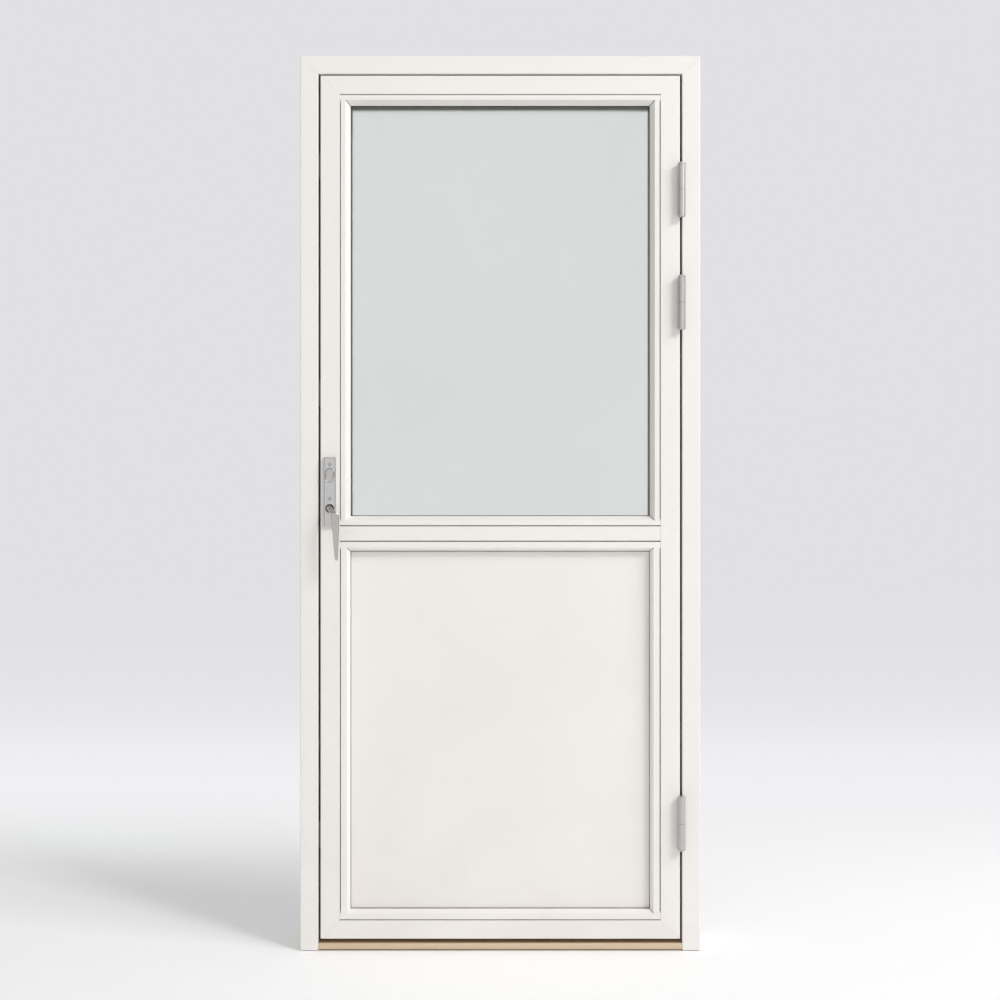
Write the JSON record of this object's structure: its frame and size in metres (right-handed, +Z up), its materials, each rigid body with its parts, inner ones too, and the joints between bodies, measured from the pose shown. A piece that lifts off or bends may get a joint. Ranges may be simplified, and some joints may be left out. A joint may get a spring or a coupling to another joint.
{
  "type": "balcony door",
  "caption": "Outward-opening balcony door in its frame: clad timber leaf with glass above and an insulated panel below, cranked lever handle, barrel hinges and a low wooden threshold.",
  "frame": {"origin": "middle of the threshold's underside, at mid depth of the frame", "axes": "+Z up, -Y towards the outside (the face seen in the picture), +X towards the hinges"},
  "size_m": [0.89, 0.166, 1.99],
  "materials": {
    "white_coat": "powder coated, satin",
    "painted_timber": "painted, satin",
    "oak": "oiled",
    "seal_rubber": "matte",
    "hinge_metal": "satin",
    "handle_metal": "satin",
    "lock_steel": "zinc plated",
    "glass": "clear",
    "spacer_black": "matte",
    "panel_face": "painted board, satin",
    "foam": "foam",
    "block_plastic": "moulded",
    "nylon": "moulded"
  },
  "bodies": {
    "frame": {"lock_jamb": "painted_timber", "hinge_jamb": "painted_timber", "head": "painted_timber", "threshold": "oak", "lock_jamb_cladding": "white_coat", "hinge_jamb_cladding": "white_coat", "head_cladding": "white_coat", "frame_seal": "seal_rubber", "lower_hinge_frame_half": "hinge_metal", "middle_hinge_frame_half": "hinge_metal", "upper_hinge_frame_half": "hinge_metal", "hinge_pins": "hinge_metal", "hinge_washers": "nylon", "lower_keep": "lock_steel", "middle_keep": "lock_steel", "upper_keep": "lock_steel"},
    "leaf": {"lock_stile": "painted_timber", "hinge_stile": "painted_timber", "top_rail": "painted_timber", "middle_rail": "painted_timber", "bottom_rail": "painted_timber", "lock_stile_cladding": "white_coat", "hinge_stile_cladding": "white_coat", "top_rail_cladding": "white_coat", "middle_rail_cladding": "white_coat", "bottom_rail_cladding": "white_coat", "top_glass_bead": "white_coat", "bottom_glass_bead": "white_coat", "lock_side_glass_bead": "white_coat", "hinge_side_glass_bead": "white_coat", "top_panel_bead": "white_coat", "bottom_panel_bead": "white_coat", "lock_side_panel_bead": "white_coat", "hinge_side_panel_bead": "white_coat", "outer_pane": "glass", "centre_pane": "glass", "inner_pane": "glass", "outer_spacer": "spacer_black", "inner_spacer": "spacer_black", "outer_glass_seal": "seal_rubber", "inner_glass_seal": "seal_rubber", "outer_panel_seal": "seal_rubber", "inner_panel_seal": "seal_rubber", "glazing_blocks": "block_plastic", "outer_panel_board": "panel_face", "inner_panel_board": "panel_face", "panel_insulation": "foam", "lower_hinge_leaf_half": "hinge_metal", "middle_hinge_leaf_half": "hinge_metal", "upper_hinge_leaf_half": "hinge_metal", "lock_case": "lock_steel", "lock_face_plate": "lock_steel", "outer_handle_plate": "handle_metal", "inner_handle_plate": "handle_metal", "cylinder_cover": "handle_metal", "handle_plate_screws": "handle_metal"},
    "handle": {"outer_lever": "handle_metal", "inner_lever": "handle_metal", "handle_spindle": "lock_steel"},
    "espagnolette": {"drive_rod": "lock_steel"}
  },
  "joints": [
    {"name": "leaf_hinge", "type": "hinge", "parent": "frame", "child": "leaf", "pos_m": [0.4025, -0.0675, 0], "axis": [0, 0, 1], "range_deg": [0, 110]},
    {"name": "handle_turn", "type": "hinge", "parent": "leaf", "child": "handle", "pos_m": [-0.3785, -0.015, 0.983], "axis": [0, -1, 0], "range_deg": [0, 90]},
    {"name": "rod_slide", "type": "slide", "parent": "leaf", "child": "espagnolette", "axis": [0, 0, -1], "range_m": [0, 0.01767]}
  ],
  "couplings": [
    {"joint": "rod_slide", "follows": "handle_turn", "m_per_rad": 0.01125}
  ]
}
